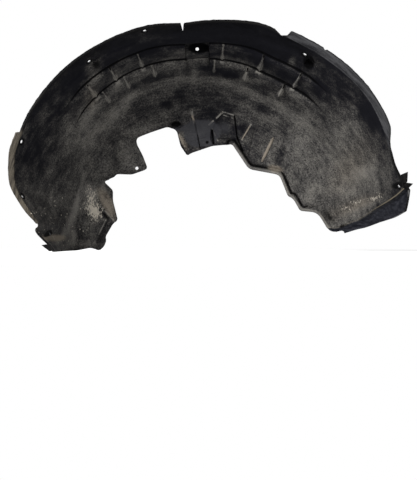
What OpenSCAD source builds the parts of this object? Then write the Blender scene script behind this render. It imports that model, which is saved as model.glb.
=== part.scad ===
// Wheel arch liner: one plastic moulding that lines the wheelhouse above a wheel.
// X runs along the car, Y runs from the rim towards the inner wall and Z is up.
// Shapes are drawn about the wheel centre, then moved so that the crown screw is the origin.

/* [Arch] */
// Radius of the wall at the rim
rim_r = 407; // [403:1:411]
// Depth at which the wall turns into the side wall
crease_depth = 196; // [194:1:199]
// Depth of the flat side wall
side_depth = 236; // [233:1:240]
// Thickness of the moulding
wall_t = 2.5; // [2:0.1:3]
// How far the wall bows outwards between rim and crease
wall_bow = 3; // [0:0.5:5]

/* [Rim] */
// Width of the narrow lip round the rim
lip_w = 5; // [4:0.5:7]
// Width of the flange on the right of the rim
flange_w = 16; // [10:0.5:20]
// Width of the flange on the left of the rim
left_flange_w = 12; // [9:0.5:15]

/* [Crown steps] */
// Depth of the first step
step_depth = 75; // [72:0.5:78]
// Distance from the first step to the second
step_pitch = 50; // [48:0.5:54]
// Height of each step
step_h = 9; // [5:0.5:11]
// Width of the ribs between the steps
rib_w = 3.5; // [2.5:0.1:5]
// Height of the ribs
rib_h = 3.5; // [2.5:0.1:5]

/* [Screws] */
// Diameter of the screw holes
screw_d = 7; // [5:0.1:8]
// Diameter of the flat seat round a rim hole
seat_d = 18; // [14:0.5:20]
// Angle of the crown screw
crown_angle = 93.1; // [92:0.1:94]
// Width of the crown pad
pad_w = 47; // [36:1:52]

/* [Side wall] */
// Width of the raised lip along the inner edge
edge_w = 8; // [5:0.5:10]
// Height of the raised lip
edge_h = 6; // [3:0.5:9]
// Width of the groove beside the lip
groove_w = 6; // [4:0.5:7]
// Depth of the cupped recess in the centre tab
recess_h = 6; // [4:0.5:9]

/* [Right end] */
// Radial joggle of the end panel behind the liner's end line
joggle = 5; // [3:0.5:7]

/* [Hidden] */
$fn = 48;
overlap = 1;
step_run = 4;
next_step_depth = step_depth + step_pitch;
pad_depth = step_depth + step_pitch / 2;
between_steps = pad_depth + step_run / 2;
// Depths at which the hollow behind the second step, and its ribs, die out
hollow_depth = next_step_depth + 28;
rib_end_depth = next_step_depth + 45;
// Outlines and tables below are drawn for a rim of 407 mm, and grow with it
arch_scale = rim_r / 407;
pad_r = rim_r - 36 * arch_scale;
inner_r = 147 * arch_scale;
pad_reach = 11;
seat_t = wall_t + 1;
seat_proud = 0.5;
rim_hole_depth = 10;
rim_step_depth = step_depth / 2;
drill_reach = 20;

function grown(points) = [for (p = points) arch_scale * p];

// Change of the rim radius round the arch, as [angle, change]
rim_shape = [
    [-8, -17], [12, -17], [15, -24], [20, -28], [26, -21], [34, -12], [44, -6], [68, -6], [75, -1],
    [85, -6], [91, -9], [97, -11], [105, -3], [112, 0], [125, 3], [133, 3], [145, 0], [150, -3], [153, -6],
    [158, -9], [160.5, -14], [165.5, -25], [168, -34], [175.5, -74], [178, -84], [180.5, -82],
    [185.5, -105], [188, -112], [197, -120]
];
// Change of the crease radius from the rim radius, as [angle, change]
crease_shape = [
    [-8, -66], [15, -80], [30, -95], [50, -100], [70, -100], [80, -92], [90, -85], [100, -79], [120, -79],
    [140, -95], [160, -117], [197, -117]
];
// The turn from the wall into the side wall, as [way inwards, share of the depth that is left]
turn_shape = [[0, 0], [9, 0.28], [28, 0.6], [46, 0.95], [58, 1]];
// The right end of the loft: below the free angle it runs aslant to the end line and the panel
free_angle = 24.4;
line_angle = 12;
panel_angle = 11.2;
last_angle = 4.5;
end_lip_w = 3.2;
// How far the end panel flattens inwards at its free corner by the rim
panel_flat = 14;
// Where the sections of the loft stand, in degrees from the right
loft_angles = concat(
    [last_angle, 8, panel_angle, line_angle, 14, 16, 18.5, 21, free_angle],
    [for (a = [27:2.5:64.5]) a],
    [67, 67.6],
    [for (a = [70:2.5:150]) a],
    [152.4, 153],
    [for (a = [155.5:2.5:190.5]) a],
    [192]
);

rim_holes = [[107.4, rim_hole_depth], [154.5, rim_hole_depth], [169.5, rim_hole_depth + 1],
    [181.2, 68], [13.6, rim_hole_depth + 11]];
pocket_holes = [[124.9, 28], [60.9, 24]];
pockets = [[58.4, 38]];
pocket_w = 16;
pocket_h = 8;
score_w = 2.5;
upper_ribs = [59, 72, 85, 111.5, 121, 129.5];
lower_ribs = [62, 76, 87.5, 108.5, 118.5, 127];

function ease(from, to, x) = let (t = max(0, min(1, (x - from) / (to - from)))) t * t * (3 - 2 * t);
function band(a, from, to, fade) = ease(from, from + fade, a) * (1 - ease(to - fade, to, a));

function rim_at(a) = rim_r + arch_scale * lookup(a, rim_shape);
function crease_at(a) = rim_r + arch_scale * lookup(a, crease_shape);
function wall_at(a, y) = rim_at(a) + (crease_at(a) - rim_at(a)) * y / crease_depth
    + wall_bow * sin(180 * y / crease_depth);
function flange_at(a) = a < line_angle
    ? end_lip_w
    : lip_w + (flange_w - lip_w) * ease(free_angle, 30, a) * (1 - ease(67, 67.6, a))
        + (left_flange_w - lip_w) * ease(152.4, 153, a) * (1 - ease(174, 179, a));

// Height of each step at an angle
function first_step(a) = step_h * band(a, 49, 140, 9);
function second_step(a) = step_h * band(a, 46, 143, 9);
function rim_step(a) = step_h / 3 * band(a, 108, 139, 6);

// The section at an angle, from the tip of the rim flange to the inner end of the side wall.
// A step rises over its run: 0.55 of it stands before the wall and 0.45 behind.
function section(a) = let (
        one = first_step(a),
        two = second_step(a),
        crease = crease_at(a),
        turn_depth = side_depth - crease_depth
    ) concat(
    [
        [rim_at(a) + flange_at(a), 0],
        [rim_at(a), 0],
        [wall_at(a, rim_step_depth) + rim_step(a), rim_step_depth],
        [wall_at(a, rim_step_depth + step_run), rim_step_depth + step_run],
        [wall_at(a, step_depth) + 0.55 * one, step_depth],
        [wall_at(a, step_depth + step_run) - 0.45 * one, step_depth + step_run],
        [wall_at(a, between_steps), between_steps],
        [wall_at(a, next_step_depth) + 0.55 * two, next_step_depth],
        [wall_at(a, next_step_depth + step_run) - 0.45 * two, next_step_depth + step_run],
        [wall_at(a, hollow_depth) - 0.2 * two, hollow_depth]
    ],
    [for (t = turn_shape) [crease - t[0], crease_depth + t[1] * turn_depth]],
    [[inner_r, side_depth]]
);

// The radius of that line where it passes a depth, steps included
function skin_at(a, y) = let (line = section(a))
    lookup(y, [for (i = [1:len(line) - 2]) [line[i][1], line[i][0]]]);

// The same line moved away from the wheel by the thickness, with mitred corners
function turned(v) = [v[1], -v[0]] / norm(v);
function mitre(p, i) = let (
        before = turned(p[max(i, 1)] - p[max(i, 1) - 1]),
        after = turned(p[min(i, len(p) - 2) + 1] - p[min(i, len(p) - 2)])
    ) (before + after) / (1 + before * after);
function moved(p, d) = [for (i = [0:len(p) - 1]) p[i] + d * mitre(p, i)];

// The right end runs aslant: its angle falls with depth, and the last strip is joggled outwards
function end_line(y) = 12 - 0.045 * y;
function turn(a, y) = a > line_angle
    ? free_angle - (free_angle - a) * (free_angle - end_line(y)) / (free_angle - line_angle)
    : a == line_angle ? end_line(y)
    : end_line(y) - 0.8 - along_panel(a) * (5.8 - 0.017 * y);
function along_panel(a) = (panel_angle - a) / (panel_angle - last_angle);
function shifted_out(a, y) = a < line_angle
    ? joggle - panel_flat * along_panel(a) * (1 - ease(0, next_step_depth, y))
    : 0;
function place(a, p) = let (
        angle = a > free_angle ? a : turn(a, p[1]),
        r = p[0] + shifted_out(a, p[1])
    ) [r * cos(angle), p[1], r * sin(angle)];

// A place on the wall, and the way out of the wheelhouse square to it
function on_skin(a, y) = place(a, [skin_at(a, y), y]);
function way_out(a, y) = let (
        square = cross(on_skin(a, y + 1) - on_skin(a, y - 1), on_skin(a + 0.5, y) - on_skin(a - 0.5, y))
    ) square / norm(square);

module at_angle(a) {
    rotate([0, -a, 0])
        children();
}

// Extrudes an outline drawn in X and Z along Y
module along_y(from, to) {
    translate([0, to, 0])
        rotate([90, 0, 0])
            linear_extrude(to - from)
                children();
}

module shell() {
    count = len(section(90));
    rows = len(loft_angles);
    layer = count * rows;
    near = [for (a = loft_angles) for (p = section(a)) place(a, p)];
    far = [for (a = loft_angles) for (p = moved(section(a), wall_t)) place(a, p)];
    cells = [for (i = [0:rows - 2]) for (j = [0:count - 2]) [i * count + j, (i + 1) * count + j]];
    faces = concat(
        [for (c = cells) [c[0], c[1] + 1, c[1]]],
        [for (c = cells) [c[0], c[0] + 1, c[1] + 1]],
        [for (c = cells) [layer + c[0], layer + c[1], layer + c[1] + 1]],
        [for (c = cells) [layer + c[0], layer + c[1] + 1, layer + c[0] + 1]],
        [for (i = [0:rows - 2]) let (k = i * count, n = k + count) [k, n, layer + n]],
        [for (i = [0:rows - 2]) let (k = i * count, n = k + count) [k, layer + n, layer + k]],
        [for (i = [0:rows - 2]) let (k = (i + 1) * count - 1, n = k + count) [k, layer + n, n]],
        [for (i = [0:rows - 2]) let (k = (i + 1) * count - 1, n = k + count) [k, layer + k, layer + n]],
        [for (j = [0:count - 2]) [j, layer + j, layer + j + 1]],
        [for (j = [0:count - 2]) [j, layer + j + 1, j + 1]],
        [for (j = [0:count - 2]) let (k = layer - count + j) [k, layer + k + 1, layer + k]],
        [for (j = [0:count - 2]) let (k = layer - count + j) [k, k + 1, layer + k + 1]]
    );
    polyhedron(concat(near, far), faces, 10);
}

// Ribs on the wheel side of the crown: between the steps, and fading out below them
module crown_ribs() {
    upper = step_depth + step_run;
    lower = next_step_depth + step_run;
    for (a = upper_ribs)
        rib(a, [
            [skin_at(a, upper) + overlap, upper],
            [skin_at(a, next_step_depth) + overlap, next_step_depth],
            [skin_at(a, next_step_depth), next_step_depth + step_run / 2],
            [skin_at(a, upper) - rib_h, upper],
            [skin_at(a, upper), upper - step_run / 2]
        ]);
    for (a = lower_ribs)
        rib(a, [
            [skin_at(a, lower) + overlap, lower],
            [skin_at(a, rib_end_depth) + overlap, rib_end_depth],
            [skin_at(a, rib_end_depth) - overlap / 2, rib_end_depth],
            [skin_at(a, lower) - rib_h, lower],
            [skin_at(a, lower), lower - step_run / 2]
        ]);
}

module rib(a, outline) {
    at_angle(a)
        translate([0, 0, -rib_w / 2])
            linear_extrude(rib_w)
                polygon(outline);
}

// The crown pad: a plate square to the wheel axis at the back of a notch in the crown wall
module pad_block() {
    at_angle(crown_angle)
        translate([pad_r - pad_reach - wall_t, step_depth + overlap, -pad_w / 2])
            cube([2 * pad_reach + 2 * wall_t, pad_depth - step_depth + wall_t - overlap, pad_w]);
}

module pad_hollow() {
    at_angle(crown_angle)
        translate([pad_r - 3 * pad_reach, step_depth - pad_reach, wall_t - pad_w / 2])
            cube([4 * pad_reach, pad_depth - step_depth + pad_reach, pad_w - 2 * wall_t]);
}

module crown_bore() {
    at_angle(crown_angle)
        translate([pad_r, pad_depth - overlap, 0])
            rotate([-90, 0, 0])
                cylinder(d = screw_d, h = wall_t + 2 * overlap);
}

// A pocket pressed outwards in the crown wall beside a screw
module pocket_block(a, y) {
    at_angle(a)
        translate([wall_at(a, y) - 2, y - pocket_w / 2 - wall_t, -pocket_w / 2 - wall_t])
            cube([pocket_h + wall_t + 2, pocket_w + 2 * wall_t, pocket_w + 2 * wall_t]);
}

module pocket_hollow(a, y) {
    at_angle(a)
        translate([wall_at(a, y) - 4 * pocket_h, y - pocket_w / 2, -pocket_w / 2])
            cube([5 * pocket_h, pocket_w, pocket_w]);
}

// Puts its children on the wall, with Z pointing out of the wheelhouse
module on_wall(a, y) {
    out = way_out(a, y);
    translate(on_skin(a, y))
        rotate([0, acos(out[2]), atan2(out[1], out[0])])
            children();
}

module seats() {
    for (h = concat(rim_holes, pocket_holes))
        on_wall(h[0], h[1])
            translate([0, 0, -seat_proud])
                cylinder(d = seat_d, h = seat_t);
}

module rim_bores() {
    for (h = concat(rim_holes, pocket_holes))
        on_wall(h[0], h[1])
            translate([0, 0, -drill_reach])
                cylinder(d = screw_d, h = 2 * drill_reach);
}

// The outline of the wheel opening, which trims the side wall and both legs
leg_end = arch_scale * -42;
far_out = 420 * arch_scale;
inner_edge = grown([
    [-282, -42], [-255, -36], [-238, -43], [-228, -33], [-223, -20], [-225, -12], [-208, 17],
    [-198, 25], [-209, 69], [-209, 91], [-228, 110], [-204, 120], [-200, 126], [-166, 125],
    [-135, 136], [-132, 141], [-142, 167], [-155, 192], [-156, 203], [-150, 208], [-124, 218],
    [-88, 230], [-74, 226], [-67, 221], [-59, 189], [-44, 167], [-36, 172], [11, 188]
]);
lip_edge = grown([
    [55, 192], [89, 141], [97, 136], [156, 125], [161, 120], [178, 77], [189, 73], [205, 45],
    [238, 42], [248, 34], [265, 6], [275, -1], [286, -1]
]);
// How the cut goes on past the right end of the lip
right_end = grown([[298, 2], [302, -4]]);

module opening() {
    start = [[-far_out, leg_end]];
    below = [[right_end[1][0], -far_out], [-far_out, -far_out]];
    along_y(step_depth, side_depth + 3 * drill_reach)
        polygon(concat(start, inner_edge, lip_edge, right_end, below));
    along_y(-drill_reach, step_depth + overlap)
        polygon([[-far_out, leg_end], [-inner_r, leg_end], [-inner_r, -far_out], [-far_out, -far_out]]);
}

function strip(path, from, to) = let (n = len(path) - 1)
    concat(moved(path, -from), [for (i = [n:-1:0]) moved(path, -to)[i]]);

module inner_lip() {
    along_y(side_depth - edge_h, side_depth + overlap)
        polygon(strip(lip_edge, 0, edge_w));
}

module inner_groove() {
    along_y(side_depth - edge_h, side_depth + overlap)
        polygon(strip([for (i = [0:len(lip_edge) - 4]) lip_edge[i]], edge_w, edge_w + groove_w));
}

// Flaps of the side wall, each as [points, panels]: a point is [X, Z, lean away from the wheel]
side_flaps = [
    [
        grown([
            [-240, 104, 0], [-221, 28, 0], [-265, -60, 0], [-190, -60, 24.8], [-190, 18, 11.9],
            [-190, 95, 19.9], [-228, 119, 6.6]
        ]),
        [[0, 1, 4], [0, 4, 5], [0, 5, 6], [1, 2, 3], [1, 3, 4]]
    ],
    [
        grown([[-61, 219, 0], [-75, 222, 9], [-75, 160, 31], [-38, 160, 4.6], [-38, 173, 0]]),
        [[0, 1, 2], [0, 2, 3], [0, 3, 4]]
    ]
];

// The recess of the centre tab and the slot above it are cups pressed towards the body
recess = grown([[11, 226], [32, 258], [56, 252], [62, 209], [56, 203], [22, 203]]);
slot = grown([[-83, 240], [-68, 243], [-53, 232], [-60, 227], [-80, 229]]);

module cup_blocks() {
    along_y(side_depth + overlap, side_depth + recess_h + wall_t)
        polygon(moved(concat(recess, [recess[0]]), -wall_t));
    along_y(side_depth + overlap, side_depth + 2 * recess_h + wall_t)
        polygon(moved(concat(slot, [slot[0]]), -wall_t));
}

module cup_hollows() {
    along_y(step_depth, side_depth + recess_h)
        polygon(recess);
    along_y(step_depth, side_depth + 2 * recess_h)
        polygon(slot);
}

// Puts its children where the side wall starts, with X running from one point to the next
module on_side(from, to) {
    run = to - from;
    translate([from[0], side_depth, from[1]])
        rotate([0, -atan2(run[1], run[0]), 0])
            children();
}

// A raised welt, or a scored groove, straight between two points
module welt(ends, width) {
    on_side(ends[0], ends[1])
        translate([0, -rib_h, -width / 2])
            cube([norm(ends[1] - ends[0]), rib_h + overlap, width]);
}

module score(ends, width) {
    on_side(ends[0], ends[1])
        translate([0, -overlap, -width / 2])
            cube([norm(ends[1] - ends[0]), overlap + wall_t / 2, width]);
}

module side_welts() {
    welt(grown([[94, 232], [76, 201]]), rib_w);
    welt(grown([[146, 208], [120, 153]]), 1.6 * rib_w);
    welt(grown([[-34, 257], [-28, 240]]), rib_w);
}

// Scored lines of the centre tab, and the dimple beside them
module scores() {
    score(grown([[-25, 232], [-15, 181]]), score_w);
    score(grown([[-36, 198], [-2, 208]]), score_w / 2);
    score(grown([[5, 226], [12, 193]]), 2 * score_w);
    score(grown([[104, 227], [91, 165]]), score_w / 2);
    translate([0, 0, 196 * arch_scale])
        along_y(side_depth - overlap, side_depth + wall_t / 2)
            circle(d = 2 * score_w);
}

// A flap that leans away from the wheel: its points run round its border
module flap(points, panels) {
    count = len(points);
    near = [for (p = points) [p[0], side_depth + p[2], p[1]]];
    far = [for (p = near) p + [0, wall_t, 0]];
    border = [for (i = [0:count - 1]) let (next = (i + 1) % count) [i, next, count + next, count + i]];
    front = [for (f = panels) [f[2], f[1], f[0]]];
    back = [for (f = panels) [for (i = f) count + i]];
    polyhedron(concat(near, far), concat(front, back, border));
}

module flaps() {
    for (f = side_flaps)
        flap(f[0], f[1]);
}

// Where the flat side wall gives way to the flaps, save a seam that joins them
module flap_gaps() {
    for (f = side_flaps)
        along_y(side_depth - overlap, side_depth + wall_t + overlap)
            offset(delta = -overlap)
                polygon([for (p = f[0]) [p[0], p[1]]]);
}

module notches() {
    along_y(-drill_reach, rim_step_depth) {
        polygon(grown([[-47, 386], [-38, 425], [-60, 425]]));
        polygon(grown([[112, 425], [132, 385], [143, 374], [153, 374], [160, 380], [166, 425]]));
        polygon(grown([[-350, 14], [-325, 12], [-325, 6], [-331, 3], [-350, 2]]));
        polygon(grown([[222, 360], [226, 345], [238, 350]]));
    }
}

// Torn ears that stand out of the rim at its right end and at the foot of the left leg
module ears() {
    along_y(0, wall_t) {
        polygon(grown([[370, 104], [374, 107], [386, 112], [385, 93], [378, 84]]));
        polygon(grown([[374, 90], [385, 91], [396, 89], [388, 81], [378, 80]]));
        polygon(grown([[-318, -29], [-306, -27], [-296, -40], [-303, -41]]));
    }
}

module tab_bore() {
    translate(arch_scale * [-155, 0, 139])
        along_y(side_depth - drill_reach, side_depth + drill_reach)
            circle(d = screw_d);
}

module liner() {
    color("dimgray")
        translate(-[pad_r * cos(crown_angle), pad_depth, pad_r * sin(crown_angle)])
            difference() {
                union() {
                    difference() {
                        sheet();
                        pad_hollow();
                        for (p = pockets)
                            pocket_hollow(p[0], p[1]);
                        cup_hollows();
                        inner_groove();
                        scores();
                        flap_gaps();
                    }
                    flaps();
                    inner_lip();
                    ears();
                }
                opening();
                notches();
                rim_bores();
                crown_bore();
                tab_bore();
            }
}

// Everything that stands before the hollows are taken out
module sheet() {
    shell();
    crown_ribs();
    pad_block();
    for (p = pockets)
        pocket_block(p[0], p[1]);
    cup_blocks();
    seats();
    side_welts();
}

liner();
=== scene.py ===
"""A used wheel arch liner: one moulded plastic sheet, dusty and muddy, seen from the wheel."""

import math
from collections import namedtuple

import bmesh
import bpy
from mathutils import Euler, Matrix, Vector, noise


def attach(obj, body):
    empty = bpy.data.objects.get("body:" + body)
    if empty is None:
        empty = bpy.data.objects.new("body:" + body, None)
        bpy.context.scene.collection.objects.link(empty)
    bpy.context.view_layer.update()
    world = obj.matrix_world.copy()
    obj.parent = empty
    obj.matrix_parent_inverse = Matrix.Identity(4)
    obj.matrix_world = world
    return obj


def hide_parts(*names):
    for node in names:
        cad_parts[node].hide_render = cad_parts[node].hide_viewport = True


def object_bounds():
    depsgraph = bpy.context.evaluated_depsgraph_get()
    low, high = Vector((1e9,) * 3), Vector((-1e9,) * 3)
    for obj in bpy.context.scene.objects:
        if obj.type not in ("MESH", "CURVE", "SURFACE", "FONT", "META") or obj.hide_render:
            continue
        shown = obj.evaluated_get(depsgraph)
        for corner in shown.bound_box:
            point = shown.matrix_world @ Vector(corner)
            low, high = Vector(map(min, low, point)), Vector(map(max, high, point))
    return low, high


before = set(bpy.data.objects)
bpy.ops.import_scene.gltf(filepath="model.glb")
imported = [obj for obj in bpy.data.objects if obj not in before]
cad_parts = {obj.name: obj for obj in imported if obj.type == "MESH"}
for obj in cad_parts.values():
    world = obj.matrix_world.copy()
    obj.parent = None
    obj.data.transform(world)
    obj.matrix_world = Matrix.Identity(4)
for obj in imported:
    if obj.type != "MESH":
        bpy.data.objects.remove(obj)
cad_low, cad_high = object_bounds()

# Sizes in millimetres, drawn about the wheel centre as the part's source does
MM = 0.001
RIM_R = 407.0
CREASE_DEPTH = 196.0
SIDE_DEPTH = 236.0
SHEET_T = 2.5
WALL_BOW = 3.0
LIP_W = 5.0
END_LIP_W = 3.2
FLANGE_W = 16.0
LEFT_FLANGE_W = 12.0
RIM_STEP_DEPTH = 37.5
STEP_DEPTH = 75.0
NEXT_STEP_DEPTH = 125.0
STEP_RUN = 4.0
STEP_H = 9.0
SCREW_D = 7.0
PAD_ANGLE = 93.1
PAD_DEPTH = 100.0
PAD_R = RIM_R - 36
PAD_REACH = 11.0
PAD_HALF_ANGLE = math.degrees(23.5 / PAD_R)
# Angle over which the pad's side walls and the ribs' feet run out
PAD_SIDE = 0.25
RIB_FOOT = 0.12
JOGGLE = 5.0
PANEL_FLAT = 14.0
INNER_R = 164.0
RIB_R = 365.0

# Stations of the right end, in degrees
LAST_STATION = 4.5
PANEL_STATION = 11.2
END_STATION = 12.0
FREE_STATION = 24.4
LEFT_STATION = 192.0
# The wall's end line, in degrees: its lean for each millimetre of depth, and its bow, which
# rises and falls between depths
LINE_LEAN = 0.045
LINE_BOW = 1.2
BOW_RISE = (20, 150)
BOW_FALL = (234, 205)
# The end panel beyond it: its turn at the rim, how much of that is lost for each millimetre of
# depth, and the joggle's share
PANEL_TURN = 5.8
PANEL_TAPER = 0.017
JOGGLE_TURN = 0.8
# Ends of the wide rim flanges, where each begins and ends its change of width
RIGHT_FLANGE_END = (67, 67.6)
LEFT_FLANGE_START = (152.4, 153)
LEFT_FLANGE_END = (174, 179)
# Where the steps of the crown begin and end
FIRST_STEP = (49, 140)
SECOND_STEP = (46, 143)
RIM_STEP = (108, 139)

ORIGIN = Vector((
    PAD_R * math.cos(math.radians(PAD_ANGLE)),
    PAD_DEPTH,
    PAD_R * math.sin(math.radians(PAD_ANGLE)),
))

# Change of the rim radius and of the crease radius round the arch, as (angle, change)
RIM_SHAPE = (
    (-8, -17), (12, -17), (15, -24), (20, -28), (26, -21), (34, -12), (44, -6), (68, -6), (75, -1),
    (85, -6), (91, -9), (97, -11), (105, -3), (112, 0), (125, 3), (133, 3), (145, 0), (150, -3),
    (153, -6), (158, -9), (160.5, -14), (165.5, -25), (168, -34), (175.5, -74), (178, -84),
    (180.5, -82), (185.5, -105), (188, -112), (197, -120),
)
CREASE_SHAPE = (
    (-8, -66), (15, -80), (30, -95), (50, -100), (70, -100), (80, -92), (90, -85), (100, -79),
    (120, -79), (140, -95), (160, -117), (197, -117),
)

# Ribs of the crown as (angle, width, height): between the steps, and fading out below them
UPPER_RIBS = (
    (59, 4, 5), (72, 6, 5), (85, 4, 4), (111.5, 4, 3.5), (121, 4.5, 4.5), (129.5, 6, 4.5),
)
LOWER_RIBS = (
    (62, 5, 6), (76, 5.5, 6), (87.5, 3.5, 4), (108.5, 4, 4), (118.5, 4, 4.5), (127, 4, 4),
)

# Screw holes in the wall as (angle, depth)
LEG_HOLE = (181.2, 68)
WALL_HOLES = (
    (107.4, 10), (154.5, 10), (169.5, 11), LEG_HOLE, (13.6, 21), (124.9, 28), (60.9, 24),
)
# Places on the side wall, in X and Z about the wheel centre
TAB_HOLE = (-155, 139)
TAB_DIMPLE = (0, 196)
DIMPLE_D = 5.0
DIMPLE_DEPTH = 1.25
DIMPLE_BIT = 20.0

# Outlines on the side wall, in X and Z about the wheel centre
LEG_EDGE = (
    (-420, -42), (-282, -42), (-255, -36), (-238, -43), (-228, -33), (-223, -20), (-225, -12),
    (-208, 17), (-198, 25), (-209, 69), (-209, 91), (-228, 110), (-204, 120), (-200, 126),
    (-166, 125), (-135, 136), (-132, 141), (-142, 167), (-155, 192), (-156, 203), (-150, 208),
    (-124, 218), (-88, 230), (-74, 226), (-67, 221), (-59, 189), (-44, 167), (-36, 172), (11, 188),
)
LIP_EDGE = (
    (55, 192), (89, 141), (97, 136), (156, 125), (161, 120), (178, 77), (189, 73), (205, 45),
    (238, 42), (248, 34), (265, 6), (275, -1), (286, -1),
)
BELOW = ((298, 2), (302, -4), (302, -200), (-420, -200))
LEG_END = ((-420, -42), (-200, -42), (-200, -200), (-420, -200))
# Notches in the rim: by the crown, at the torn part, at the left leg and by the right flange
NOTCHES = (
    ((-47, 386), (-60, 425), (-38, 425)),
    ((112, 425), (132, 385), (143, 374), (153, 374), (160, 380), (166, 425)),
    ((-350, 14), (-325, 12), (-325, 6), (-331, 3), (-350, 2)),
    ((222, 360), (226, 345), (238, 350)),
)


def ease(start, end, x):
    """0 before start, 1 after end, and smooth between them."""
    t = max(0.0, min(1.0, (x - start) / (end - start)))
    return t * t * (3 - 2 * t)


def band(x, start, end, fade):
    """1 inside the band, with smooth ends of that length inside it."""
    return ease(start, start + fade, x) * (1 - ease(end - fade, end, x))


def curve(table, x):
    """Reads a table of (x, y) pairs as a smooth line through its points."""
    last = len(table) - 1
    if x <= table[0][0]:
        return table[0][1]
    if x >= table[last][0]:
        return table[last][1]
    i = next(k for k in range(last) if x <= table[k + 1][0])
    slopes = []
    for k in (i, i + 1):
        low, high = max(k - 1, 0), min(k + 1, last)
        slopes.append((table[high][1] - table[low][1]) / (table[high][0] - table[low][0]))
    width = table[i + 1][0] - table[i][0]
    t = (x - table[i][0]) / width
    return (
        table[i][1] * (2 * t**3 - 3 * t**2 + 1)
        + slopes[0] * width * (t**3 - 2 * t**2 + t)
        + table[i + 1][1] * (3 * t**2 - 2 * t**3)
        + slopes[1] * width * (t**3 - t**2)
    )


def rim_at(a):
    return RIM_R + curve(RIM_SHAPE, a)


def crease_at(a):
    return RIM_R + curve(CREASE_SHAPE, a)


def wall_at(a, y):
    """Radius of the plain wall, without its steps."""
    rim, crease = rim_at(a), crease_at(a)
    down = y / CREASE_DEPTH
    return rim + (crease - rim) * down + WALL_BOW * math.sin(math.pi * down)


def flange_at(a):
    if a < END_STATION:
        return END_LIP_W
    right = (FLANGE_W - LIP_W) * ease(FREE_STATION, 30, a) * (1 - ease(*RIGHT_FLANGE_END, a))
    left = (LEFT_FLANGE_W - LIP_W) * ease(*LEFT_FLANGE_START, a) * (1 - ease(*LEFT_FLANGE_END, a))
    ragged = 0.8 * noise.noise(Vector((a * 0.9, 3.1, 0)))
    return LIP_W + right + left + ragged


def on_pad(a):
    """1 across the crown pad and 0 beside it."""
    return 1 - ease(PAD_HALF_ANGLE, PAD_HALF_ANGLE + PAD_SIDE, abs(a - PAD_ANGLE))


def section(a):
    """Corners of the sheet's section at an angle, as (radius, depth, rounding)."""
    rim, crease, pad = rim_at(a), crease_at(a), on_pad(a)
    one, two = STEP_H * band(a, *FIRST_STEP, 9), STEP_H * band(a, *SECOND_STEP, 9)
    rim_step = STEP_H / 3 * band(a, *RIM_STEP, 6)

    def toward_pad(r, y, pad_r, pad_y, rounding):
        return (r + (pad_r - r) * pad, y + (pad_y - y) * pad, rounding)

    past = NEXT_STEP_DEPTH + STEP_RUN
    return (
        (rim + flange_at(a), 1.0 + 3.2 * band(a, 22, 69, 2), 0),
        (rim + flange_at(a) - 3.0, 0, 1.2),
        (rim, 0, 3),
        (wall_at(a, RIM_STEP_DEPTH) + rim_step, RIM_STEP_DEPTH, 2),
        (wall_at(a, RIM_STEP_DEPTH + STEP_RUN), RIM_STEP_DEPTH + STEP_RUN, 2),
        (wall_at(a, STEP_DEPTH) + 0.55 * one, STEP_DEPTH, 0.8),
        toward_pad(wall_at(a, STEP_DEPTH + STEP_RUN) - 0.45 * one, STEP_DEPTH + STEP_RUN,
                   PAD_R + PAD_REACH, STEP_DEPTH + 2.5, 5),
        toward_pad(wall_at(a, PAD_DEPTH + 2), PAD_DEPTH + 2, PAD_R + PAD_REACH, PAD_DEPTH, 2.5),
        toward_pad(wall_at(a, NEXT_STEP_DEPTH) + 0.55 * two, NEXT_STEP_DEPTH,
                   PAD_R - PAD_REACH, PAD_DEPTH, 0.8),
        toward_pad(wall_at(a, past) - 0.45 * two, past, PAD_R - PAD_REACH - 2, past, 5),
        (wall_at(a, NEXT_STEP_DEPTH + 28) - 0.2 * two, NEXT_STEP_DEPTH + 28, 9),
        (crease, CREASE_DEPTH, 9),
        (crease - 9, CREASE_DEPTH + (SIDE_DEPTH - CREASE_DEPTH) * 0.28, 6),
        (crease - 28, CREASE_DEPTH + (SIDE_DEPTH - CREASE_DEPTH) * 0.6, 9),
        (crease - 46, SIDE_DEPTH - 2, 8),
        (crease - 58, SIDE_DEPTH, 5),
        (INNER_R, SIDE_DEPTH, 0),
    )


# Cells along each straight of the section and along each rounded corner, and a column's angle
STRAIGHTS = (1, 2, 8, 1, 7, 3, 6, 6, 3, 6, 8, 2, 3, 3, 3, 42)
CORNER = 2
COLUMN = 0.62


def section_points(a):
    """The section at an angle as evenly counted points, its corners rounded by short curves."""
    corners = [Vector((r, y)) for r, y, _ in section(a)]
    rounding = [c[2] for c in section(a)]
    points = []
    leave = corners[0]
    for i in range(1, len(corners)):
        here, before = corners[i], corners[i - 1]
        step = here - before
        if i == len(corners) - 1:
            arrive = here
        else:
            ahead = corners[i + 1] - here
            reach = min(rounding[i], 0.42 * step.length, 0.42 * ahead.length)
            arrive = here - step.normalized() * reach
        count = STRAIGHTS[i - 1]
        points += [leave.lerp(arrive, k / count) for k in range(count)]
        if i < len(corners) - 1:
            leave = here + ahead.normalized() * reach
            for k in range(CORNER):
                t = k / CORNER
                points.append(arrive.lerp(here, t).lerp(here.lerp(leave, t), t))
    points.append(corners[-1])
    return points


def end_angle(y):
    return END_STATION - LINE_LEAN * y + LINE_BOW * ease(*BOW_RISE, y) * ease(*BOW_FALL, y)


def along_panel(a):
    return (PANEL_STATION - a) / (PANEL_STATION - LAST_STATION)


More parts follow.
